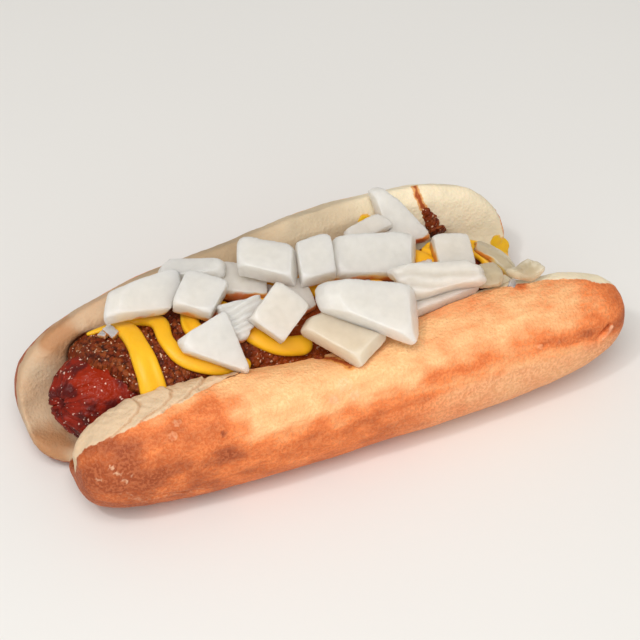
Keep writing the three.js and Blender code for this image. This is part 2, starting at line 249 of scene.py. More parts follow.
def skin(name, around, along, place):
    """A closed skin from end to end: a sphere whose vertices move to place(turn, share), in mm.

    The turn runs once round the section from 0 to 1, and the share from the first end to the last.
    """
    deselect()
    bpy.ops.mesh.primitive_uv_sphere_add(segments=around, ring_count=along, radius=1)
    piece = bpy.context.active_object
    piece.name = name
    for vertex in piece.data.vertices:
        x, y, z = vertex.co
        turn = (math.atan2(y, x) / (2 * math.pi)) % 1
        vertex.co = place(turn, math.acos(max(-1, min(1, z))) / math.pi) * MM
    bpy.ops.object.mode_set(mode="EDIT")
    bpy.ops.mesh.select_all(action="SELECT")
    bpy.ops.mesh.normals_make_consistent(inside=False)
    bpy.ops.object.mode_set(mode="OBJECT")
    return piece


def joined(pieces, name):
    """Several pieces as one, named anew."""
    pick(pieces[0])
    for piece in pieces[1:]:
        piece.select_set(True)
    if len(pieces) > 1:
        bpy.ops.object.join()
    whole = bpy.context.active_object
    whole.name = name
    return whole


def push(piece, amount):
    """Moves each vertex along its normal by amount(place, normal), in mm."""
    mesh = piece.data
    moved = [v.co + v.normal * (amount(v.co / MM, v.normal) * MM) for v in mesh.vertices]
    mesh.vertices.foreach_set("co", np.array(moved, np.float32).ravel())
    mesh.update()


def paint(piece, name, share):
    """Keeps share(place, normal), from 0 to 1, on each vertex as an attribute."""
    mesh = piece.data
    layer = mesh.attributes.new(name, "FLOAT", "POINT")
    values = [share(v.co / MM, v.normal) for v in mesh.vertices]
    layer.data.foreach_set("value", np.array(values, np.float32))


def from_line(place, points):
    """The distance from a place to a line through points, in mm."""
    best = 1e9
    for start, end in zip(points, points[1:]):
        a = Vector(start)
        step = Vector(end) - a
        share = min(max((place - a).dot(step) / step.length_squared, 0), 1)
        best = min(best, (place - a - step * share).length)
    return best


def from_spot(place, spot):
    """The distance from a place to the middle of a spot, as a share of its radius."""
    return (place - Vector(spot[:3])).length / spot[3]


def at(value, line):
    """The second number of a line given as pairs, where the first one is value."""
    return float(np.interp(value, [p[0] for p in line], [p[1] for p in line]))


def spline_through(points, count):
    """Evenly shared places on a smooth curve through points."""
    ends = [points[0] * 2 - points[1]] + points + [points[-1] * 2 - points[-2]]
    path = []
    for k in range(count + 1):
        reach = k / count * (len(points) - 1)
        i = min(int(reach), len(points) - 2)
        t = reach - i
        a, b, c, d = ends[i:i + 4]
        bend, twist = 2 * a - 5 * b + 4 * c - d, 3 * b - a - 3 * c + d
        path.append(0.5 * (2 * b + (c - a) * t + bend * t ** 2 + twist * t ** 3))
    return path


def surface_of(name):
    """A finished piece's surface, to measure from."""
    return BVHTree.FromObject(bpy.data.objects[name], bpy.context.evaluated_depsgraph_get())


def smooth_shaded(piece):
    """Shades a piece smooth all over."""
    pick(piece)
    bpy.ops.object.shade_smooth()


def settle(piece, material, slot, *nodes):
    """Gives a finished piece its material and its body, and hides the nodes that it stands for. The slot is
    not used.
    """
    piece.data.materials.clear()
    piece.data.materials.append(material)
    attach(piece, "root")
    if nodes:
        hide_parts(*nodes)


COLOURS = {"out": 2, "data_type": "RGBA"}  # a Mix node set to colours
STEP = {"interpolation_type": "SMOOTHSTEP"}  # a Map Range node set to a smooth rise


def add(tree, kind, inputs=None, out=0, **settings):
    """Adds a shader node with its settings, fills its inputs with values or links, and gives an output."""
    made = tree.nodes.new("ShaderNode" + kind)
    for name, value in settings.items():
        setattr(made, name, value)
    for name, value in (inputs or {}).items():
        if isinstance(value, bpy.types.NodeSocket):
            tree.links.new(value, made.inputs[name])
        else:
            made.inputs[name].default_value = value
    return made.outputs[out] if len(made.outputs) else made


def new_material(name):
    """An empty material, its node tree, and the place on the piece in mm."""
    material = bpy.data.materials.new(name)
    material.use_nodes = True
    tree = material.node_tree
    tree.nodes.clear()
    metres = add(tree, "TexCoord", out="Object")
    place = add(tree, "VectorMath", {0: metres, "Scale": 1 / MM}, operation="SCALE")
    return material, tree, place


def frank_line():
    """The frankfurter's ends, the y and the z of its middle line, and its radius, in mm."""
    places = np.array([v.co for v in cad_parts["frankfurter"].data.vertices]) / MM
    low, high = places.min(0), places.max(0)
    radius = (high[1] - low[1]) / 2
    stations = np.linspace(low[0] + 1.3 * radius, high[0] - 1.3 * radius, 9)
    heights = []
    for x in stations:
        ring = places[abs(places[:, 0] - x) < 5, 2]
        heights.append((ring.min() + ring.max()) / 2)
    return low, high, (low[1] + high[1]) / 2, np.polyfit(stations, heights, 2), radius


FRANK_LOW, FRANK_HIGH, FRANK_Y, FRANK_Z, FRANK_RADIUS = frank_line()


def round_frank(x, angle, radius):
    """The place that far from the frankfurter's middle line, at an angle from straight up."""
    turn = math.radians(angle)
    height = float(np.polyval(FRANK_Z, x))
    return Vector((x, FRANK_Y + radius * math.sin(turn), height + radius * math.cos(turn)))


def angle_of(place):
    """The angle of a place round the frankfurter, in degrees from straight up."""
    return math.degrees(math.atan2(place.y - FRANK_Y, place.z - np.polyval(FRANK_Z, place.x)))


def fullness(x):
    """The frankfurter's radius at x as a share of its greatest one."""
    to_tip = min(x - FRANK_LOW[0], FRANK_HIGH[0] - x)
    return math.sqrt(max(1 - (1 - min(to_tip / FRANK_RADIUS, 1)) ** 2, 0))


# ---- Sizes and colours -------------------------------------------------------------------


def colour(name, description, hex_code):
    """A colour property with its default as an sRGB hex value."""
    return bpy.props.FloatVectorProperty(
        name=name, description=description, subtype="COLOR", size=3, min=0, max=1, default=linear(hex_code)
    )


def millimetres(name, description, default):
    """A size property in mm."""
    return bpy.props.FloatProperty(name=name, description=description, default=default, min=0)


class BunSettings(bpy.types.PropertyGroup):
    mesh: millimetres("Mesh size", "Size of the faces of the bread, in mm", 0.75)
    pores: millimetres("Pores", "Height of the finest relief of the crust, in mm", 0.07)
    gold: colour("Gold", "Crust where it bakes least", "fdc68b")
    orange: colour("Orange", "Crust that is baked more", "ea8044")
    brown: colour("Brown", "Crust that is baked most", "a8542e")
    floury: colour("Floury", "Floury crust of the side, below the band", "eba878")
    pale: colour("Pale", "Blisters and scuffs", "f6cda8")
    crumb: colour("Crumb", "Cut face", "f6e6c6")
    torn: colour("Torn", "Torn crumb beside the frankfurter", "e0c3a0")
    # Also used for painted shade in the torn grooves.
    tan: colour("Tan", "Cut face where it has toasted", "b9875e")
    # Painted shade on the higher half's cut face behind the heap.
    dull: colour("Dull", "Cut face of the higher half, behind the heap", "b89d7c")
    # Painted shade: the dark inside of the crack and the slit.
    grime: colour("Grime", "Inside of the crack and the slit", "6b3216")
    halo: colour("Halo", "Bread that fat has soaked into, round the sauce", "e29a48")
    sauce: colour("Sauce", "Bread that sauce has soaked into", "a5461a")
    mustard: colour("Mustard", "Bread beneath the mustard", "f3b52a")


class FrankSettings(bpy.types.PropertyGroup):
    wrinkle: millimetres("Wrinkles", "Depth of the gathered skin at the knot, in mm", 0.85)
    # Darker patches of skin, and painted shade in the folds and at the knot.
    dark: colour("Dark", "Skin in the folds", "561410")
    skin: colour("Skin", "Skin over most of it", "8a210e")
    bright: colour("Bright", "Taut skin beside the sauce", "942304")
    # Painted glints: pale specks drawn into the casing's colour.
    painted_glints: colour("Drops", "Beads of clear fat that catch the light", "f0cdbb")


class SauceSettings(bpy.types.PropertyGroup):
    thickness: millimetres("Thickness", "Sauce over the top of the frankfurter, in mm", 2.2)
    side: millimetres("Side", "Further thickness against the higher half, in mm", 2.4)
    grain: millimetres("Grain", "Breadth of a grain of meat, in mm", 1.5)
    relief: millimetres("Relief", "Height of the grains, in mm", 0.85)
    brown: colour("Brown", "Ground meat", "772c0e")
    # Painted shade in the hollows between the grains.
    dark: colour("Dark", "Hollows between the grains", "3c1206")
    tan: colour("Tan", "Lighter grains", "934a20")
    fat: colour("Fat", "Red fat that gathers under the onion", "a8480f")
    # Painted glints: pale specks drawn into the sauce's colour.
    painted_glints: colour("Drops", "Beads of clear fat that catch the light", "ecc8a8")


class MustardSettings(bpy.types.PropertyGroup):
    height: millimetres("Height", "Height of a stroke, in mm", 2.9)
    sunk: millimetres("Sunk", "How deep a stroke lies in the sauce, in mm", 0.6)
    yellow: colour("Yellow", "Mustard", "f6b91f")


class OnionSettings(bpy.types.PropertyGroup):
    mesh: millimetres("Mesh size", "Size of the faces of a piece, in mm", 0.26)
    growth: millimetres("Growth", "How far a cut lies outside the plain solid, in mm", 0.42)
    white: colour("White", "Flesh", "dbd7cf")
    warm: colour("Warm", "Flesh that has soaked up a little fat", "dad2c6")
    soaked: colour("Soaked", "Flesh that has soaked up more of it", "d4c6b0")
    grey: colour("Grey", "Thin, clearer flesh", "b9aa8e")
    stain: colour("Stain", "Flesh that has soaked up sauce", "d8701f")
    # A painted reflection of the mustard's yellow.
    reflected_yellow: colour("Tint", "Flesh beside mustard", "f0bf3e")


class StageSettings(bpy.types.PropertyGroup):
    floor: colour("Floor", "Table top", "e9e7e3")
    azimuth: bpy.props.FloatProperty(
        name="Azimuth", description="Turn of the camera", subtype="ANGLE", default=math.radians(-24.4)
    )
    elevation: bpy.props.FloatProperty(
        name="Elevation", description="Height of the camera", subtype="ANGLE", default=math.radians(46)
    )
    distance: bpy.props.FloatProperty(
        name="Distance", description="From the camera to its target", unit="LENGTH", default=0.56
    )
    lens: bpy.props.FloatProperty(
        name="Lens", description="Focal length", subtype="DISTANCE_CAMERA", default=125.4
    )
    target: bpy.props.FloatVectorProperty(
        name="Target", description="What the camera looks at", subtype="XYZ", unit="LENGTH",
        default=(0.0062, 0.0094, 0.0108),
    )


# ---- Materials ---------------------------------------------------------------------------


def toned(tree, shade, pattern, darkest, lightest):
    """A shade that a noise makes darker in its hollows and lighter on its heights."""
    spread = {"Value": pattern, "From Min": 0.3, "From Max": 0.7, "To Min": darkest, "To Max": lightest}
    tone = add(tree, "MapRange", spread)
    return add(tree, "VectorMath", {0: shade, "Scale": tone}, operation="SCALE")


def with_stain_or_painted_light(tree, shade, mark, ragged, stain, low, high, most):
    """A shade with a mark of another colour on it, a stain, painted shade or a painted reflection, that sets
    in where a mark, made ragged, rises from low to high.
    """
    share = add(tree, "Math", {0: mark, 1: ragged}, operation="ADD")
    share = add(tree, "MapRange", {"Value": share, "From Min": low, "From Max": high, "To Max": most}, **STEP)
    there = add(tree, "Math", {0: mark, 1: 0.03}, operation="GREATER_THAN")
    share = add(tree, "Math", {0: share, 1: there}, operation="MULTIPLY")
    return add(tree, "Mix", {0: share, 6: shade, 7: rgba(stain)}, **COLOURS)


def baked_bread(sizes):
    """Soft wheat bread: a thin matt crust that bakes unevenly, and pale close crumb where cut."""
    material, tree, place = new_material("soft_wheat_bread")
    marks = {name: add(tree, "Attribute", out="Fac", attribute_name=name) for name in BREAD_MARKS}
    # Blotches 6 mm across, streaks that run along the bun, and grains under a millimetre across.
    mottle = add(tree, "TexNoise", {"Vector": place, "Scale": 1 / 6, "Detail": 4.0})
    stretched = add(tree, "VectorMath", {0: place, 1: (0.5, 1, 1)}, operation="MULTIPLY")
    streaks = add(tree, "TexNoise", {"Vector": stretched, "Scale": 1 / 3.4, "Detail": 5.0, "Roughness": 0.62})
    grains = add(tree, "TexNoise", {"Vector": place, "Scale": 1 / 0.75, "Detail": 1.5})
    ragged = add(tree, "Math", {0: mottle, 1: 0.5, 2: -0.25}, operation="MULTIPLY_ADD")
    fine_ragged = add(tree, "Math", {0: grains, 1: 0.6, 2: -0.3}, operation="MULTIPLY_ADD")
    streaky = add(tree, "Math", {0: streaks, 1: 0.9, 2: -0.39}, operation="MULTIPLY_ADD")

    baked = add(tree, "Math", {0: marks["browning"], 1: fine_ragged}, operation="ADD")
    baked = add(tree, "Math", {0: baked, 1: streaky}, operation="ADD")
    first = add(tree, "MapRange", {"Value": baked, "From Max": 0.55})
    second = add(tree, "MapRange", {"Value": baked, "From Min": 0.55})
    crust = rgba(sizes.gold)
    for share, other in ((first, sizes.orange), (second, sizes.brown), (marks["floury"], sizes.floury)):
        crust = add(tree, "Mix", {0: share, 6: crust, 7: rgba(other)}, **COLOURS)
    # The grains stand out most where the crust is baked most.
    light = add(tree, "MapRange", {"Value": grains, "From Min": 0.4, "From Max": 0.62}, **STEP)
    grain_tone = add(tree, "Mix", {0: light, 6: (0.78, 0.68, 0.6, 1), 7: (1.2, 1.42, 1.62, 1)}, **COLOURS)
    grainy = add(tree, "MapRange", {"Value": marks["browning"], "To Min": 0.28, "To Max": 0.95})
    crust = add(tree, "Mix", {0: grainy, 6: crust, 7: grain_tone}, **COLOURS, blend_type="MULTIPLY")

    # Toast, with painted shade in the torn grooves.
    toasted = add(tree, "Math", {0: marks["toasted"], 1: ragged}, operation="ADD", use_clamp=True)
    crumb = rgba(sizes.crumb)
    # Torn crumb, toast with painted shade in the torn grooves, and painted shade behind the heap.
    for share, other in ((marks["torn"], sizes.torn), (toasted, sizes.tan), (marks["dull"], sizes.dull)):
        crumb = add(tree, "Mix", {0: share, 6: crumb, 7: rgba(other)}, **COLOURS)
    crumb = toned(tree, crumb, mottle, 0.87, 1.07)

    cut = add(tree, "Math", {0: marks["cut_face"], 1: fine_ragged}, operation="ADD")
    cut = add(tree, "MapRange", {"Value": cut, "From Min": 0.3, "From Max": 0.7}, **STEP)
    shade = add(tree, "Mix", {0: cut, 6: crust, 7: crumb}, **COLOURS)
    # Pale spots, painted shade in the crack and the slit, sauce stains with their halo, and mustard stains.
    for name, stain, low, high, most in (
        ("pale", sizes.pale, 0.2, 0.9, 0.6), ("grime", sizes.grime, 0.3, 0.8, 0.85),
        ("sauce_stain", sizes.halo, 0.12, 0.5, 0.85), ("sauce_stain", sizes.sauce, 0.6, 1.0, 0.95),
        ("mustard_stain", sizes.mustard, 0.25, 0.6, 0.9),
    ):
        shade = with_stain_or_painted_light(tree, shade, marks[name], fine_ragged, stain, low, high, most)

    # The crust's grains stand out more than the crumb's.
    strength = add(tree, "MapRange", {"Value": cut, "To Min": 0.85, "To Max": 0.5})
    bump = add(tree, "Bump", {"Height": grains, "Distance": 0.5 * MM, "Strength": strength})
    bread = add(tree, "BsdfPrincipled", {
        "Base Color": shade, "Roughness": 0.62, "IOR": 1.45, "Specular IOR Level": 0.3, "Normal": bump,
        "Subsurface Weight": 0.1, "Subsurface Radius": (1.0, 0.6, 0.35), "Subsurface Scale": 0.8 * MM,
    })
    add(tree, "OutputMaterial", {"Surface": bread})
    return material


def wet_with_painted_glints(tree, place, shade, painted_glints, least, pimple, height, strength):
    """Finishes cooked meat: painted glints over a wet coat that follows fine pimples, with sizes in mm."""
    # Painted glints: pale specks about 0.3 mm across, where a noise passes least, drawn into the colour so
    # that they glint from any side.
    glint_specks = add(tree, "TexNoise", {"Vector": place, "Scale": 1 / 0.8, "Detail": 1.0})
    spread = {"Value": glint_specks, "From Min": least, "From Max": least + 0.06, "To Max": 0.8}
    share = add(tree, "MapRange", spread, **STEP)
    shade = add(tree, "Mix", {0: share, 6: shade, 7: rgba(painted_glints)}, **COLOURS)
    pimples = add(tree, "TexNoise", {"Vector": place, "Scale": 1 / pimple, "Detail": 3.0})
    bump = add(tree, "Bump", {"Height": pimples, "Distance": height * MM, "Strength": strength})
    meat = add(tree, "BsdfPrincipled", {
        "Base Color": shade, "Roughness": 0.5, "IOR": 1.4, "Specular IOR Level": 0.1, "Coat Weight": 0.2,
        "Coat Roughness": 0.06, "Normal": bump, "Coat Normal": bump,
    })
    add(tree, "OutputMaterial", {"Surface": meat})


def cooked_casing(sizes):
    """A cooked frankfurter's casing: thin, taut and wet, with painted shade in the folds where it is
    gathered.
    """
    material, tree, place = new_material("cooked_sausage_casing")
    # Patches 3.5 mm across.
    patches = add(tree, "TexNoise", {"Vector": place, "Scale": 1 / 3.5, "Detail": 5.0})
    share = add(tree, "MapRange", {"Value": patches, "From Min": 0.4, "From Max": 0.6}, **STEP)
    taut = add(tree, "Attribute", out="Fac", attribute_name="taut_skin")
    wander = add(tree, "Math", {0: patches, 1: 1.4, 2: -0.7}, operation="MULTIPLY_ADD")
    taut = add(tree, "Math", {0: taut, 1: wander}, operation="ADD")
    taut = add(tree, "MapRange", {"Value": taut, "From Min": 0.25, "From Max": 0.75}, **STEP)
    # Painted shade in the folds and at the knot.
    fold = add(tree, "Attribute", out="Fac", attribute_name="fold")
    shade = rgba(sizes.dark)
    for amount, other in ((share, sizes.skin), (taut, sizes.bright), (fold, sizes.dark)):
        shade = add(tree, "Mix", {0: amount, 6: shade, 7: rgba(other)}, **COLOURS)
    wet_with_painted_glints(tree, place, shade, sizes.painted_glints, least=0.675, pimple=0.75, height=0.4, strength=0.8)
    return material


def ground_meat_sauce(sizes):
    """Ground meat simmered in fat: wet grains of several browns, with painted shade in the hollows between
    them and painted glints all over.
    """
    material, tree, place = new_material("ground_meat_sauce")
    grains = add(tree, "TexVoronoi", {"Vector": place, "Scale": 1 / sizes.grain}, out="Color")
    one = add(tree, "SeparateColor", {0: grains})
    lightness = add(tree, "MapRange", {"Value": one, "From Min": 0.45, "From Max": 1.0, "To Max": 0.9})
    # Painted shade in the hollows between the grains.
    hollow = add(tree, "Attribute", out="Fac", attribute_name="hollow")
    fat = add(tree, "Attribute", out="Fac", attribute_name="fat")
    shade = rgba(sizes.brown)
    for share, other in ((lightness, sizes.tan), (hollow, sizes.dark), (fat, sizes.fat)):
        shade = add(tree, "Mix", {0: share, 6: shade, 7: rgba(other)}, **COLOURS)
    wet_with_painted_glints(tree, place, shade, sizes.painted_glints, least=0.665, pimple=0.55, height=0.42, strength=0.9)
    return material


def yellow_mustard(sizes):
    """Prepared yellow mustard: a smooth thick paste with a satin gloss and a soft glow."""
    material, tree, place = new_material("yellow_mustard_paste")
    # Swells 4 mm across.
    drift = add(tree, "TexNoise", {"Vector": place, "Scale": 1 / 4, "Detail": 2.0})
    shade = toned(tree, tuple(sizes.yellow), drift, 0.95, 1.03)
    bump = add(tree, "Bump", {"Height": drift, "Distance": 0.25 * MM, "Strength": 0.4})
    paste = add(tree, "BsdfPrincipled", {
        "Base Color": shade, "Roughness": 0.42, "IOR": 1.42, "Specular IOR Level": 0.4, "Normal": bump,
        "Subsurface Weight": 0.5, "Subsurface Radius": (1.0, 0.8, 0.25), "Subsurface Scale": 1.8 * MM,
    })
    add(tree, "OutputMaterial", {"Surface": paste})
    return material


def raw_onion(name, sizes, flesh):
    """Raw onion: wet, translucent layers with fine veins, with a sauce stain where it meets the sauce, and a
    painted reflection of yellow beside the mustard.
    """
    material, tree, place = new_material(name)
    mottle = add(tree, "TexNoise", {"Vector": place, "Scale": 1 / 2.2, "Detail": 4.0})
    ragged = add(tree, "Math", {0: mottle, 1: 0.9, 2: -0.45}, operation="MULTIPLY_ADD")
    shade = toned(tree, tuple(flesh), mottle, 0.96, 1.03)
    # A painted reflection of the mustard's yellow, and the sauce's stain.
    for mark, stain, most in (("mustard_near", sizes.reflected_yellow, 0.55), ("sauce_near", sizes.stain, 0.85)):
        near = add(tree, "Attribute", out="Fac", attribute_name=mark)
        shade = with_stain_or_painted_light(tree, shade, near, ragged, stain, 0.2, 0.8, most)
    # Veins about 1.2 mm apart, only just seen.
    veins = {"Vector": place, "Scale": 1 / 7.5, "Distortion": 3.0, "Detail": 2.0}
    veins = add(tree, "TexWave", veins, out=1)
    bump = add(tree, "Bump", {"Height": veins, "Distance": 0.06 * MM, "Strength": 0.3})
    onion = add(tree, "BsdfPrincipled", {
        "Base Color": shade, "Roughness": 0.3, "IOR": 1.38, "Specular IOR Level": 0.45, "Normal": bump,
        "Subsurface Weight": 1.0, "Subsurface Radius": (1.0, 0.97, 0.9), "Subsurface Scale": 9.0 * MM,
    })
    add(tree, "OutputMaterial", {"Surface": onion})
    return material


def table_top(sizes):
    """Matt painted board, pale and plain."""
    material, tree, place = new_material("matt_painted_board")
    faint = add(tree, "TexNoise", {"Vector": place, "Scale": 1 / 60, "Detail": 2.0})
    tone = add(tree, "MapRange", {"Value": faint, "To Min": 0.98, "To Max": 1.0})
    shade = add(tree, "VectorMath", {0: tuple(sizes.floor), "Scale": tone}, operation="SCALE")
    board = add(tree, "BsdfPrincipled", {"Base Color": shade, "Roughness": 0.7})
    add(tree, "OutputMaterial", {"Surface": board})
    return material


# ---- Bun ---------------------------------------------------------------------------------


def is_cut_face(place, normal):
    """1 on the cut face of the bun and 0 on its crust, with a soft step between them."""
    uneven = 0.7 * noise(place / 3) + 0.4 * noise(place / 1.2)
    low = smooth(place.y - at(place.x, CUT_EDGE_LOW) + uneven, -0.6, 0.6)
    high = smooth(at(place.x, CUT_EDGE_HIGH) - place.y + uneven, -0.6, 0.6)
    # The crust of the lower half turns in under its -X nose.
    turned_in = smooth(-place.x, 62, 65) * smooth(-place.y, 6, 9) * smooth(-place.z, -17, -14)
    return low * high * smooth(place.z, 2, 4) * smooth(normal.z, -0.5, -0.2) * (1 - turned_in)


def on_side(place):
    """1 on the bun's outer sides, and 0 along its middle."""
    return 1 - smooth(place.y, -24, -16) * smooth(-place.y, -24, -16)


def browning(place, normal):
    """How far the crust is baked, from 0 for golden to 1 for brown."""
    drift, blotch, side = noise(place / 15), noise(place / 5), on_side(place)
    left = 0.6 * smooth(-(place.x + 5 * blotch), 26, 34) + 0.28 * smooth(-(place.x + 8 * drift), 44, 60)
    # It is paler beside the torn strip.
    beside = fade(at(place.x, CUT_EDGE_LOW) - place.y, 0.5, 4)
    left -= 0.3 * beside * smooth(place.x, -62, -54) * smooth(place.z, 20, 24)
    right = 0.17 * smooth(place.x, 10, 40) + 0.36 * smooth(place.x + 8 * drift, 55, 70)
    off = place.z - at(place.x, BAND) - 1.3 * blotch
    band = (0.46 - 0.22 * smooth(-place.x, 24, 44) - 0.2 * smooth(place.x, 22, 36)) * side
    band *= hump(off, 2.4 if off > 0 else 1.6)
    below = (0.6 + 0.18 * smooth(-place.x, 28, 44)) * smooth(-off, 0, 3) * smooth(-place.x, -56, 0) * side
    scorch = 0.26 * fade(from_line(place, SCORCH) + blotch, 0, 3.4)
    spots = 0.5 * max(fade(from_spot(place, spot), 0.3, 1.1) for spot in BROWN_SPOTS)
    low = 0.3 * smooth(-place.z, -10, -3) * smooth(place.x, 20, 45)
    return min(max(max(left, right, below) + band + scorch + spots + low + 0.13 * blotch, 0), 1)


def is_floury(place, normal):
    """How floury the crust is: a pale powdery side below the band, away from the -X nose."""
    off = place.z - at(place.x, BAND) - 1.2 * noise(place / 4)
    return 0.7 * smooth(-off, 1.8, 5) * smooth(place.x + 12 * noise(place / 12), 6, 36) * on_side(place)


def toast_and_groove_shade_share(place, normal):
    """How much tan the cut face takes: toast on the higher half towards the -X nose, and painted shade in the
    torn grooves.
    """
    higher = smooth(place.y + 0.5 * smooth(-place.x, 58, 66) * (30 - place.z), -6, 2)
    nose = smooth(-place.x + 7 * noise(place / 10), -6, 34)
    rim = fade(at(place.x, CUT_EDGE_HIGH) - place.y, 0.5, 7)
    wander = 0.4 * noise(place / 3)
    spots = max(fade(from_spot(place, spot) + wander, 0.2, 1.4) for spot in BROWN_SPOTS)
    # Painted shade in the grooves where the torn layers end.
    grooves = 0.6 * groove_share(place) * (1 - higher) if on_torn_strip(place) else 0
    return min(higher * (nose * (0.6 + 0.15 * rim) + 0.5 * spots * smooth(-place.x, 30, 50)) + grooves, 1)


def torn_off(place, i):
    """How far a place lies beyond the end of one of the torn layers, in mm."""
    return place.x - at(place.y, TORN_LAYERS[i]) + 0.5 * noise(place / 1.6 + Vector((0, 0, 9 * i)))


def groove_share(place):
    """1 in the grooves where torn layers end, and 0 elsewhere."""
    return max(hump(torn_off(place, i) - 0.35, 0.4) for i in range(len(TORN_LAYERS)))


def heap_shade_share(place, normal):
    """Painted shade on the higher half's cut face, along its middle behind the heap."""
    far = smooth(place.y, 4, 10) * smooth(place.x + 6 * noise(place / 9), -48, -30)
    return far * (0.95 - 0.35 * smooth(place.x, -14, 4) - 0.6 * smooth(place.x, 14, 28))


def is_torn(place, normal):
    """1 on the torn strip of crumb on the lower half, and 0 elsewhere."""
    return smooth(-place.x, 14, 24) * smooth(-place.y, 4, 8)


def torn_relief(place):
    """The torn strip: layers that end in steps over one another, and a crack along them."""
    # Threads of crumb run aslant over it.
    along = Vector((0.45 * (place.x - place.y), place.x + place.y, place.z))
    relief = 0.35 * noise(place / 3.2) + 0.2 * noise(along / 1.5)
    for i in range(len(TORN_LAYERS)):
        off = torn_off(place, i)
        relief += 0.6 * fade(off, -0.5, 0.3) * math.exp(min(off, 0) / 3.5) - 0.2 * hump(off - 0.4, 0.5)
    return relief - 1.2 * hump(from_line(place, CRACK), 0.45)


def on_torn_strip(place):
    """Whether a place lies on the torn strip or just beside it."""
    edge = at(place.x, CUT_EDGE_LOW)
    return -70 < place.x < -18 and edge - 1.5 < place.y < edge + 11 and place.z > 19


def is_marked(place):
    """Whether a place bears a mark that needs a finer mesh."""
    if on_torn_strip(place):
        return True
    if any(from_spot(place, spot) < 2 for spot in BLISTERS):
        return True
    lines = [SAUCE_STREAK, SAUCE_SMEAR, TEAR, *(line for line, _ in CREASES[:2])]
    return any(from_line(place, line) < 2.4 for line in lines)


def bread_relief(place, normal, sizes):
    """How far the bread's surface stands out or in, in mm."""
    cut = is_cut_face(place, normal)
    crust = 0.3 * noise(place / 13) + 0.14 * noise(place / 4) + sizes.pores * noise(place / 1.2)
    crumb = 0.3 * noise(place / 7) + 0.12 * noise(place / 2.2) + 0.06 * noise(place)
    if on_torn_strip(place):
        crumb = crumb * 0.3 + torn_relief(place)
    relief = crust * (1 - cut) + crumb * cut
    for line, depth in CREASES:
        relief -= depth * hump(from_line(place, line), 0.5)
    for spot in BLISTERS:
        relief += 0.3 * fade(from_spot(place, spot), 0.5, 1.1)
    relief += 0.5 * hump(from_line(place, TEAR_FLAP), 0.5) - 1.5 * hump(from_line(place, TEAR), 0.5)
    # It lies flat on the table.
    return relief * smooth(place.z, 0.2, 2)


def is_pale(place, normal):
    """How pale the crust is: on blisters, floury blotches, scuffs, the sides of wrinkles and the flap."""
    blisters = 0.4 * max(fade(from_spot(place, spot), 0.5, 1.2) for spot in BLISTERS)
    blotches = 0.5 * max(fade(from_spot(place, spot), 0.3, 1.1) for spot in PALE_SPOTS)
    ragged = 0.4 * noise(place / 0.7)
    scuffs = 0.8 * max(fade(from_line(place, line) + ragged, 0.1, 0.7) for line in SCUFFS)
    wander = 0.5 * noise(place / 2)
    wrinkles = 0.4 * max(fade(abs(from_line(place, line) - 0.7 + wander), 0, 0.6) for line, _ in CREASES[1:])
    flap = 0.8 * fade(from_line(place, TEAR_FLAP), 0.2, 0.7)
    return max(blisters, blotches, scuffs, wrinkles, flap)


def crack_shade_share(place, normal):
    """Painted shade in the crack and in the slit: 1 there, and 0 elsewhere."""
    return max(fade(from_line(place, CRACK), 0.1, 0.6), fade(from_line(place, TEAR), 0.25, 0.85))


def is_sauced(place, normal):
    """1 where sauce ran over the bread, and 0 beyond the halo round it."""
    streak = fade(from_line(place, SAUCE_STREAK) + 0.3 * noise(place / 1.2), 0.1, 1.5)
    smear = fade(from_line(place, SAUCE_SMEAR) + 0.5 * noise(place / 1.4), 0.3, 1.9)
    return max(streak, smear)


def is_mustardy(place, normal):
    """1 beneath the dabs of mustard, and 0 beyond their edges."""
    return max(fade(from_spot(place, dab), 0.7, 1.3) for dab in MUSTARD_DABS)


# The marks that the bread's material reads as attributes.
BREAD_MARKS = {
    "cut_face": is_cut_face, "browning": browning, "floury": is_floury, "torn": is_torn,
    "toasted": toast_and_groove_shade_share, "dull": heap_shade_share, "pale": is_pale, "grime": crack_shade_share,
    "sauce_stain": is_sauced, "mustard_stain": is_mustardy,
}


class HOTDOG_OT_bun(bpy.types.Operator):
    """Bake the bun: both halves and the hinge between them."""

    bl_idname = "hotdog.bun"
    bl_label = "Bun"

    def execute(self, context):
        sizes = context.scene.hotdog_bun
        bun = copy_of("bun", "bread_bun")
        finish_with(bun, "REMESH", mode="VOXEL", voxel_size=sizes.mesh * MM)
        finish_with(bun, "SMOOTH", factor=0.5, iterations=8)
        refine(bun, is_marked, 2)
        push(bun, lambda place, normal: bread_relief(place, normal, sizes))
        for name, share in BREAD_MARKS.items():
            paint(bun, name, share)
        smooth_shaded(bun)
        settle(bun, baked_bread(sizes), "bread", "bun")
        return {"FINISHED"}


# ---- Frankfurter -------------------------------------------------------------------------


def knot_frame():
    """The middle of the round -X end, and three axes: towards the knot, and two across."""
    centre = round_frank(FRANK_LOW[0] + FRANK_RADIUS, 0, 0)
    knot = round_frank(KNOT[0], KNOT[1], FRANK_RADIUS * fullness(KNOT[0]))
    towards = (knot - centre).normalized()
    across = towards.orthogonal().normalized()
    return centre, towards, across, towards.cross(across)


KNOT_FRAME = knot_frame()


def gathers(place):
    """Folds of skin gathered to the knot: from -1 in a fold to 1 on a ridge, and how far off it is."""
    centre, towards, across, other = KNOT_FRAME
    ray = (place - centre).normalized()
    away = FRANK_RADIUS * math.acos(max(-1, min(1, ray.dot(towards))))
    turn = math.atan2(ray.dot(other), ray.dot(across))
    wander = 1.3 * noise(place / 4.5)
    coarse = 2 * abs(math.sin(4.5 * turn + wander)) ** 0.8 - 1
    fine = 2 * abs(math.sin(9.5 * turn + 2 * wander + 1)) ** 0.8 - 1
    finest = 2 * abs(math.sin(17 * turn + 3 * wander + 2)) ** 0.8 - 1
    return 0.45 * coarse + 0.35 * fine + 0.2 * finest, away


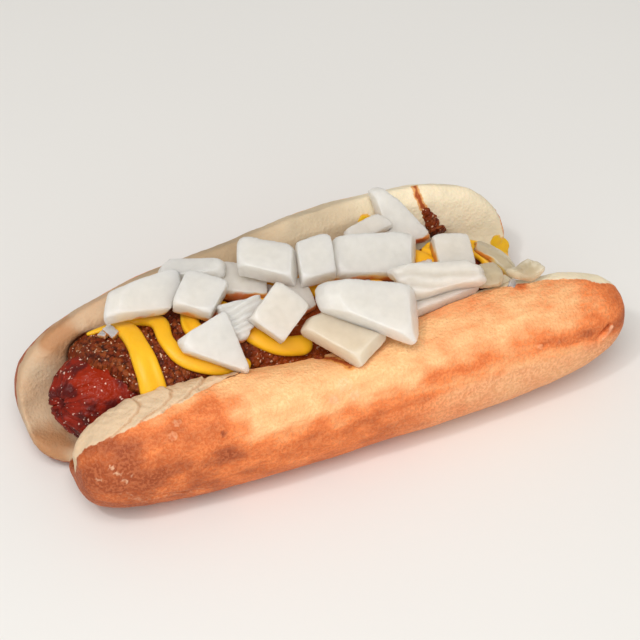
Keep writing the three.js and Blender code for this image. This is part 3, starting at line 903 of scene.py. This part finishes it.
class HOTDOG_OT_frankfurter(bpy.types.Operator):
    """Put in the frankfurter, with its skin gathered to a knot."""

    bl_idname = "hotdog.frankfurter"
    bl_label = "Frankfurter"

    def execute(self, context):
        sizes = context.scene.hotdog_frankfurter
        start, end = FRANK_LOW[0], FRANK_HIGH[0]

        def place_at(turn, share):
            x = start + (end - start) * (1 - math.cos(math.pi * share)) / 2
            return round_frank(x, 360 * turn, FRANK_RADIUS * fullness(x))

        def relief(place, normal):
            # The hidden tip is gathered like the one that shows.
            mirrored = Vector((min(place.x, start + end - place.x), place.y, place.z))
            fold, away = gathers(mirrored)
            gathered = smooth(away, 0.4, 2.5) * smooth(-away, -15, -3)
            pit = 0.45 * hump(away - 3.4, 1.5) - 1.5 * hump(away, 1.5)
            lumps = 0.3 * noise(place / 4) + 0.22 * noise(place / 1.7)
            near_tip = smooth(-away, -19, -6)
            return sizes.wrinkle * gathered * fold + pit + lumps * (0.25 + near_tip)

        # Painted shade: dark in the folds of the gathered skin and in the pit at the knot.
        def fold_shade_share(place, normal):
            fold, away = gathers(place)
            return 0.85 * smooth(-away, -12, -2) * smooth(-fold, -0.1, 0.8) + smooth(-away, -1.8, -0.6)

        def is_taut(place, normal):
            if place.x > 0:
                return 0.0
            x, angle = RED_PATCH
            along, arc = place.x - x, MM_PER_DEGREE * (angle_of(place) - angle)
            cosine, sine = RED_PATCH_TILT
            length, breadth = RED_PATCH_SIZE
            off = math.hypot((cosine * along - sine * arc) / length, (sine * along + cosine * arc) / breadth)
            # Less so in the folds, so that they run on through it.
            fold, _ = gathers(place)
            return fade(off, 0.3, 1.3) * (0.85 + 0.25 * fold)

        frank = skin("frankfurter_sausage", 240, 300, place_at)
        push(frank, relief)
        paint(frank, "fold", fold_shade_share)
        paint(frank, "taut_skin", is_taut)
        smooth_shaded(frank)
        settle(frank, cooked_casing(sizes), "sausage", "frankfurter")
        return {"FINISHED"}


# ---- Meat sauce --------------------------------------------------------------------------


def grain_height(place, size):
    """Packed round grains, from 0 in the hollows to 1 on top of a grain."""
    first, second = voronoi(place / size)[0][:2]
    fine = voronoi(place / (0.5 * size) + Vector((7, 3, 5)))[0][0]
    return 0.4 * max(1 - first ** 2, 0) + 0.4 * smooth(second - first, 0, 0.4) + 0.2 * max(1 - fine ** 2, 0)


def sauce_radius(x, angle, sizes):
    """How far the sauce reaches from the frankfurter's middle line, and how much it covers."""
    start, end = SAUCE_ENDS
    buried = 1.6  # how far its edges and its underside lie inside the frankfurter
    ragged = 1.1 * noise(Vector((x / 2.2, angle / 14, 1))) + 0.5 * noise(Vector((x, angle / 6, 5)))
    round_end = math.sqrt(max(1 - (1 - min((end - x) / 7, 1)) ** 2, 0))
    under = FRANK_RADIUS * (fullness(x) if x < 0 else round_end)
    sides = MM_PER_DEGREE * min(angle - SAUCE_SIDE, at(x, SAUCE_FAR_SIDE) - angle)
    inside = min(x - at(angle, SAUCE_EDGE), sides) + ragged
    cover = smooth(inside, -0.4, 2.2)
    thickness = (sizes.thickness + sizes.side * smooth(angle, 20, 70)) * (1 if x < 0 else round_end)
    thickness *= 0.35 + 0.65 * smooth(x, -61, -51)
    closed = math.sqrt(min((x - start) / 3, 1))
    return (under - buried + (buried + thickness) * cover) * closed, cover


def blob(centre, normal, breadth, height, seed):
    """A lump that lies on a surface, facing along its normal. Sizes are in mm."""
    up = normal.normalized()
    side = up.orthogonal().normalized()
    across = up.cross(side)

    def place_at(turn, share):
        angle = 2 * math.pi * turn
        wobble = 1 + 0.35 * noise(Vector((math.cos(angle) * 1.3, math.sin(angle) * 1.3, seed)))
        reach = breadth * math.sin(math.pi * share) * wobble
        flat = side * (reach * math.cos(angle)) + across * (reach * math.sin(angle))
        return centre + flat + up * (height * math.cos(math.pi * share))

    return skin("blob", 40, 26, place_at)


def dabs_on_bread(name, dabs, height, seed, mesh):
    """Dabs that lie on the bread, as one piece with faces of a size. Sizes are in mm."""
    surface = surface_of("bread_bun")
    blobs = []
    for i, (x, y, z, breadth) in enumerate(dabs, seed):
        spot, normal, _, _ = surface.find_nearest(Vector((x, y, z)) * MM)
        blobs.append(blob(spot / MM, normal, breadth, height, i))
    whole = joined(blobs, name)
    finish_with(whole, "REMESH", mode="VOXEL", voxel_size=mesh * MM)
    return whole


class HOTDOG_OT_sauce(bpy.types.Operator):
    """Ladle the meat sauce over the frankfurter, with the lump that ran up the higher half."""

    bl_idname = "hotdog.sauce"
    bl_label = "Meat sauce"

    def execute(self, context):
        sizes = context.scene.hotdog_sauce
        start, end = SAUCE_ENDS

        def place_at(turn, share):
            x = start + (end - start) * share
            # Nine tenths of the facets lie on the part that shows.
            angle = -118 + 240 * turn / 0.9 if turn < 0.9 else 122 + 120 * (turn - 0.9) / 0.1
            angle = angle - 360 if angle > 180 else angle
            radius, cover = sauce_radius(x, angle, sizes)
            spot = round_frank(x, angle, radius)
            lump = 0.45 * noise(spot / 5)
            relief = sizes.relief * (grain_height(spot, sizes.grain) - 0.6)
            # The grains lie thick where it covers, and on its +X end.
            grainy = smooth(max(cover, smooth(x, 41, 46)), 0.1, 0.5)
            return round_frank(x, angle, radius + (lump + relief) * grainy)

        def is_fatty(place, normal):
            return 0.65 * smooth(place.x + 5 * noise(place / 4), -22, -10) * smooth(-place.x, -42, -32)

        sauce = skin("meat_sauce", 232, 400, place_at)
        # Painted shade in the hollows between the grains.
        paint(sauce, "hollow", lambda place, normal: fade(grain_height(place, sizes.grain), 0.3, 0.62))
        paint(sauce, "fat", is_fatty)
        smooth_shaded(sauce)
        material = ground_meat_sauce(sizes)
        settle(sauce, material, "meat_sauce", "sauce")

        dabs = dabs_on_bread("sauce_on_bread", SAUCE_DABS, height=0.8, seed=0, mesh=0.25)
        push(dabs, lambda place, normal: 0.35 * (grain_height(place, 1.2) - 0.5))
        # Painted shade in the hollows between the grains of the dabs.
        paint(dabs, "hollow", lambda place, normal: 0.6 * fade(grain_height(place, 1.2), 0.25, 0.55))
        smooth_shaded(dabs)
        settle(dabs, material, "meat_sauce")
        return {"FINISHED"}


# ---- Mustard -----------------------------------------------------------------------------


class HOTDOG_OT_mustard(bpy.types.Operator):
    """Draw the mustard over the sauce in a zigzag, and dab it on the higher half."""

    bl_idname = "hotdog.mustard"
    bl_label = "Mustard"

    def execute(self, context):
        sizes = context.scene.hotdog_mustard
        strokes = [self.stroke(turns, context.scene, i) for i, turns in enumerate(MUSTARD_STROKES)]
        mustard = joined(strokes, "mustard_zigzag")
        finish_with(mustard, "REMESH", mode="VOXEL", voxel_size=0.3 * MM)
        finish_with(mustard, "SMOOTH", factor=0.5, iterations=5)
        # It is pressed away where the pieces of onion lie in it, and 0.1 mm round them.
        cutters = []
        for node in ONIONS:
            cutter = copy_of(node, "cutter")
            push(cutter, lambda place, normal: 0.1)
            cutters.append(cutter)
        cutter = joined(cutters, "cutter")
        finish_with(mustard, "BOOLEAN", operation="DIFFERENCE", object=cutter, solver="MANIFOLD")
        bpy.data.objects.remove(cutter)
        if not mustard.data.polygons:
            raise RuntimeError("the onion cut all of the mustard away")
        smooth_shaded(mustard)
        material = yellow_mustard(sizes)
        settle(mustard, material, "mustard", "sauce")

        dabs = dabs_on_bread("mustard_on_bread", MUSTARD_DABS, height=0.35, seed=20, mesh=0.2)
        finish_with(dabs, "SMOOTH", factor=0.5, iterations=6)
        smooth_shaded(dabs)
        settle(dabs, material, "mustard")
        return {"FINISHED"}

    def stroke(self, turns, scene, seed):
        """One bead, flattened on the sauce, through its turns."""
        sizes, sauce = scene.hotdog_mustard, scene.hotdog_sauce
        points = []
        for x, angle, _ in turns:
            under = FRANK_RADIUS + sauce.thickness + 0.6 * sauce.side * smooth(angle, 20, 70)
            points.append(round_frank(x, angle, under - sizes.sunk + sizes.height / 2))
        path = spline_through(points, 120)
        widths = [width for _, _, width in turns]
        length = sum((b - a).length for a, b in zip(path, path[1:]))

        def place_at(turn, share):
            reach = share * (len(path) - 1)
            i = min(int(reach), len(path) - 2)
            middle = path[i].lerp(path[i + 1], reach - i)
            ahead = (path[min(i + 2, len(path) - 1)] - path[max(i - 1, 0)]).normalized()
            up = middle - round_frank(middle.x, 0, 0)
            up = (up - ahead * up.dot(ahead)).normalized()
            side = ahead.cross(up)
            width = float(np.interp(share * (len(turns) - 1), range(len(turns)), widths))
            full = math.sqrt(max(1 - (1 - min(min(share, 1 - share) * length / (0.5 * width), 1)) ** 2, 0))
            angle = 2 * math.pi * turn
            # A bead with a flat back, and a shallow valley along it that comes and goes.
            across, tall = math.cos(angle), math.sin(angle)
            swing = 1 + 0.1 * noise(Vector((share * 5, seed * 5.1, 0)))
            valley = 0.5 * smooth(noise(Vector((share * 3, seed * 3.3, 7))), -0.1, 0.3)
            dip = valley * hump(across + 0.25, 0.3) * max(tall, 0)
            height = sizes.height / 2 * min(width / 5, 1.1)
            rise = math.copysign(abs(tall) ** 0.8, tall) * height - dip
            out = math.copysign(abs(across) ** 0.8, across) * width / 2 * swing
            return middle + side * (out * full) + up * (rise * full)

        return skin("stroke", 40, 100, place_at)


# ---- Onion -------------------------------------------------------------------------------


class HOTDOG_OT_onions(bpy.types.Operator):
    """Scatter the diced onion, each piece with crisp cut edges and curved layers."""

    bl_idname = "hotdog.onions"
    bl_label = "Diced onion"

    fleshes = {
        "white": "raw_white_onion", "warm": "raw_onion_with_fat", "soaked": "raw_onion_soaked",
        "grey": "raw_onion_single_layer",
    }
    warm = ("onion_01", "onion_04", "onion_09", "onion_12", "onion_13", "onion_19", "onion_20")
    soaked = ("onion_03",)
    single = ("onion_05", "onion_06", "onion_07")  # thin clear pieces from a single layer
    # Pieces that show their layers: the way across the layers, their spacing and their depth.
    layered = {"onion_11": ((0.1, -0.75, -0.65), 1.5, 0.2), "onion_20": ((0.3, 0.9, 0.3), 3.4, 0.25)}
    unlayered = ((1, 0, 0), 1, 0)
    # A cut takes in the faces within this cosine of the way it faces, if they are this share of all.
    along, least = 0.77, 0.04
    swelling = 1.3  # how far a piece swells before it is trimmed, in mm

    def execute(self, context):
        sizes = context.scene.hotdog_onion
        fleshes = {kind: raw_onion(name, sizes, getattr(sizes, kind)) for kind, name in self.fleshes.items()}
        kinds = {
            **dict.fromkeys(ONIONS, "white"), **dict.fromkeys(self.warm, "warm"),
            **dict.fromkeys(self.soaked, "soaked"), **dict.fromkeys(self.single, "grey"),
        }
        self.sauce, self.mustard = surface_of("meat_sauce"), surface_of("mustard_zigzag")
        for i, node in enumerate(ONIONS):
            dice = copy_of(node, f"diced_{node}")
            cuts = [] if node in self.single else self.flat_cuts(dice)
            finish_with(dice, "REMESH", mode="VOXEL", voxel_size=sizes.mesh * MM)
            if cuts:
                self.trim(dice, cuts, sizes.growth)
                finish_with(dice, "REMESH", mode="VOXEL", voxel_size=sizes.mesh * MM)
            finish_with(dice, "SMOOTH", factor=0.5, iterations=1 if cuts else 3)
            push(dice, self.unevenness(Vector((11 * i, 5 * i, 0)), *self.layered.get(node, self.unlayered)))
            self.stain(dice)
            smooth_shaded(dice)
            settle(dice, fleshes[kinds[node]], "raw_onion", node)
        self.scraps(fleshes["white"])
        return {"FINISHED"}

    def unevenness(self, shift, across, spacing, depth):
        """How far a cut piece's surface stands out or in, by its place: uneven, and ridged along layers."""

        def relief(place, normal):
            uneven = 0.16 * noise((place + shift) / 4) + 0.05 * noise((place + shift) / 1.2)
            layer = (place.dot(Vector(across)) + 1.2 * noise(place / 6)) / spacing
            return uneven + depth * math.sin(2 * math.pi * layer)

        return relief

    def flat_cuts(self, piece):
        """The flat cuts that come nearest to a piece's sides: the way each faces, and how far out, in mm."""
        sides = [(face.normal.copy(), face.center / MM, face.area) for face in piece.data.polygons]
        whole = sum(area for _, _, area in sides)
        cuts = []
        while sides:
            # The side that most of the surface left over faces along with.
            shares = [sum(area for way, _, area in sides if way.dot(side[0]) > self.along) for side in sides]
            share, i = max((share, i) for i, share in enumerate(shares))
            main = sides[i][0]
            near = [side for side in sides if side[0].dot(main) > self.along]
            sides = [side for side in sides if side[0].dot(main) <= self.along]
            if share > self.least * whole:
                way = sum((normal * area for normal, _, area in near), Vector()).normalized()
                cuts.append((way, sum(centre.dot(way) * area for _, centre, area in near) / share))
        return cuts

    def trim(self, piece, cuts, growth):
        """Swells a piece and trims it flat, a little outside each cut, so that its edges come out crisp."""
        push(piece, lambda place, normal: self.swelling)
        mesh = piece.data
        places = np.empty(3 * len(mesh.vertices), np.float32)
        mesh.vertices.foreach_get("co", places)
        places = places.reshape(-1, 3) / MM
        for _ in range(6):
            for way, out in cuts:
                beyond = np.maximum(places @ np.array(way) - out - growth, 0)
                places -= beyond[:, None] * np.array(way)
        mesh.vertices.foreach_set("co", (places * MM).astype(np.float32).ravel())
        mesh.update()

    def stain(self, piece):
        """Paints how near each place is to the sauce, for its stain, and to the mustard, for a painted
        reflection of its yellow.
        """
        for name, surface, reach in (("sauce_near", self.sauce, 5.6), ("mustard_near", self.mustard, 3.8)):

            def nearness(place, normal):
                off = surface.find_nearest(place * MM)[3] / MM + 1.2 * noise(place / 3)
                # Less so on top.
                return (1 - 0.8 * smooth(normal.z, 0.3, 0.9)) * fade(off, 0.3 * reach, reach)

            paint(piece, name, nearness)

    def scraps(self, material):
        """Small cut scraps, each turned its own way."""
        dice = random.Random(5)
        scraps = []
        for x, y, z, radius in ONION_SCRAPS:
            deselect()
            bpy.ops.mesh.primitive_cube_add(size=2 * radius * MM, location=(x * MM, y * MM, z * MM))
            scrap = bpy.context.active_object
            bpy.ops.object.mode_set(mode="EDIT")
            bpy.ops.mesh.select_all(action="SELECT")
            bpy.ops.mesh.subdivide(number_cuts=5)
            bpy.ops.object.mode_set(mode="OBJECT")
            turned = Matrix.Rotation(dice.uniform(0, 3), 3, "Z")
            turned = turned @ Matrix.Rotation(dice.uniform(-0.5, 0.5), 3, "X")
            stretch = Vector((1, dice.uniform(0.6, 0.8), dice.uniform(0.35, 0.5)))
            for vertex in scrap.data.vertices:
                wobble = 1 + 0.3 * noise(vertex.co / MM + Vector((x, y, z)))
                vertex.co = turned @ Vector(a * b for a, b in zip(vertex.co * wobble, stretch))
            bpy.ops.object.transform_apply(location=True, rotation=False, scale=False)
            scraps.append(scrap)
        whole = joined(scraps, "onion_scraps")
        finish_with(whole, "REMESH", mode="VOXEL", voxel_size=0.15 * MM)
        finish_with(whole, "SMOOTH", factor=0.5, iterations=5)
        self.stain(whole)
        smooth_shaded(whole)
        settle(whole, material, "raw_onion")


# ---- Stage and panel ---------------------------------------------------------------------


class HOTDOG_OT_stage(bpy.types.Operator):
    """Set the table, the lights and the camera."""

    bl_idname = "hotdog.stage"
    bl_label = "Table, lights and camera"

    def execute(self, context):
        sizes = context.scene.hotdog_stage
        deselect()
        bpy.ops.mesh.primitive_plane_add(size=6)
        floor = context.active_object
        floor.name = "table_top"
        floor.data.materials.append(table_top(sizes))
        self.light("key_light", azimuth=-32, elevation=62, distance=0.9, size=0.45, watts=4.0)
        self.light("fill_light", azimuth=-5, elevation=28, distance=1.0, size=0.8, watts=2.0)
        self.light("glint_light", azimuth=-62, elevation=60, distance=0.9, size=0.06, watts=1.2)
        world = bpy.data.worlds.new("soft_daylight")
        context.scene.world = world
        world.use_nodes = True
        background = world.node_tree.nodes["Background"]
        background.inputs["Color"].default_value = rgba(linear("f4f2ee"))
        background.inputs["Strength"].default_value = 0.5
        context.scene.view_settings.view_transform = "Standard"

        bpy.ops.object.camera_add()
        camera = context.active_object
        camera.name = "camera"
        back = self.way(sizes.azimuth, sizes.elevation)
        camera.location = Vector(sizes.target) + back * sizes.distance
        camera.rotation_mode = "QUATERNION"
        camera.rotation_quaternion = (-back).to_track_quat("-Z", "Y")
        camera.data.lens = sizes.lens
        camera.data.clip_start = 0.01
        context.scene.camera = camera
        return {"FINISHED"}

    def way(self, azimuth, elevation):
        """The direction from the table towards something that stands round it."""
        flat = math.cos(elevation)
        return Vector((math.sin(azimuth) * flat, -math.cos(azimuth) * flat, math.sin(elevation)))

    def light(self, name, azimuth, elevation, distance, size, watts):
        """A soft square light that faces the middle of the table."""
        back = self.way(math.radians(azimuth), math.radians(elevation))
        bpy.ops.object.light_add(type="AREA", location=back * distance)
        lamp = bpy.context.active_object
        lamp.name = name
        lamp.rotation_mode = "QUATERNION"
        lamp.rotation_quaternion = (-back).to_track_quat("-Z", "Y")
        lamp.data.size = size
        lamp.data.energy = watts


class HOTDOG_PT_panel(bpy.types.Panel):
    """Lists the steps that make the hot dog."""

    bl_idname = "HOTDOG_PT_panel"
    bl_label = "Hot dog"
    bl_space_type = "VIEW_3D"
    bl_region_type = "UI"
    bl_category = "Hot dog"

    def draw(self, context):
        for group, _, operator in STEPS:
            box = self.layout.box()
            box.operator(operator.bl_idname)
            settings = getattr(context.scene, group)
            for name in settings.__annotations__:
                box.prop(settings, name)


# Each step's settings, as they are kept on the scene, and its operator.
STEPS = [
    ("hotdog_stage", StageSettings, HOTDOG_OT_stage),
    ("hotdog_bun", BunSettings, HOTDOG_OT_bun),
    ("hotdog_frankfurter", FrankSettings, HOTDOG_OT_frankfurter),
    ("hotdog_sauce", SauceSettings, HOTDOG_OT_sauce),
    ("hotdog_mustard", MustardSettings, HOTDOG_OT_mustard),
    ("hotdog_onion", OnionSettings, HOTDOG_OT_onions),
]
CLASSES = [kind for _, *kinds in STEPS for kind in kinds] + [HOTDOG_PT_panel]


def register():
    for kind in CLASSES:
        bpy.utils.register_class(kind)
    for name, settings, _ in STEPS:
        setattr(bpy.types.Scene, name, bpy.props.PointerProperty(type=settings))


def unregister():
    for name, _, _ in STEPS:
        delattr(bpy.types.Scene, name)
    for kind in reversed(CLASSES):
        bpy.utils.unregister_class(kind)


def main():
    """Makes everything in order."""
    register()
    bpy.ops.hotdog.stage()
    bpy.ops.hotdog.bun()
    bpy.ops.hotdog.frankfurter()
    bpy.ops.hotdog.sauce()
    bpy.ops.hotdog.mustard()
    bpy.ops.hotdog.onions()
    deselect()
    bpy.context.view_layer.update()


if __name__ == "__main__":
    main()
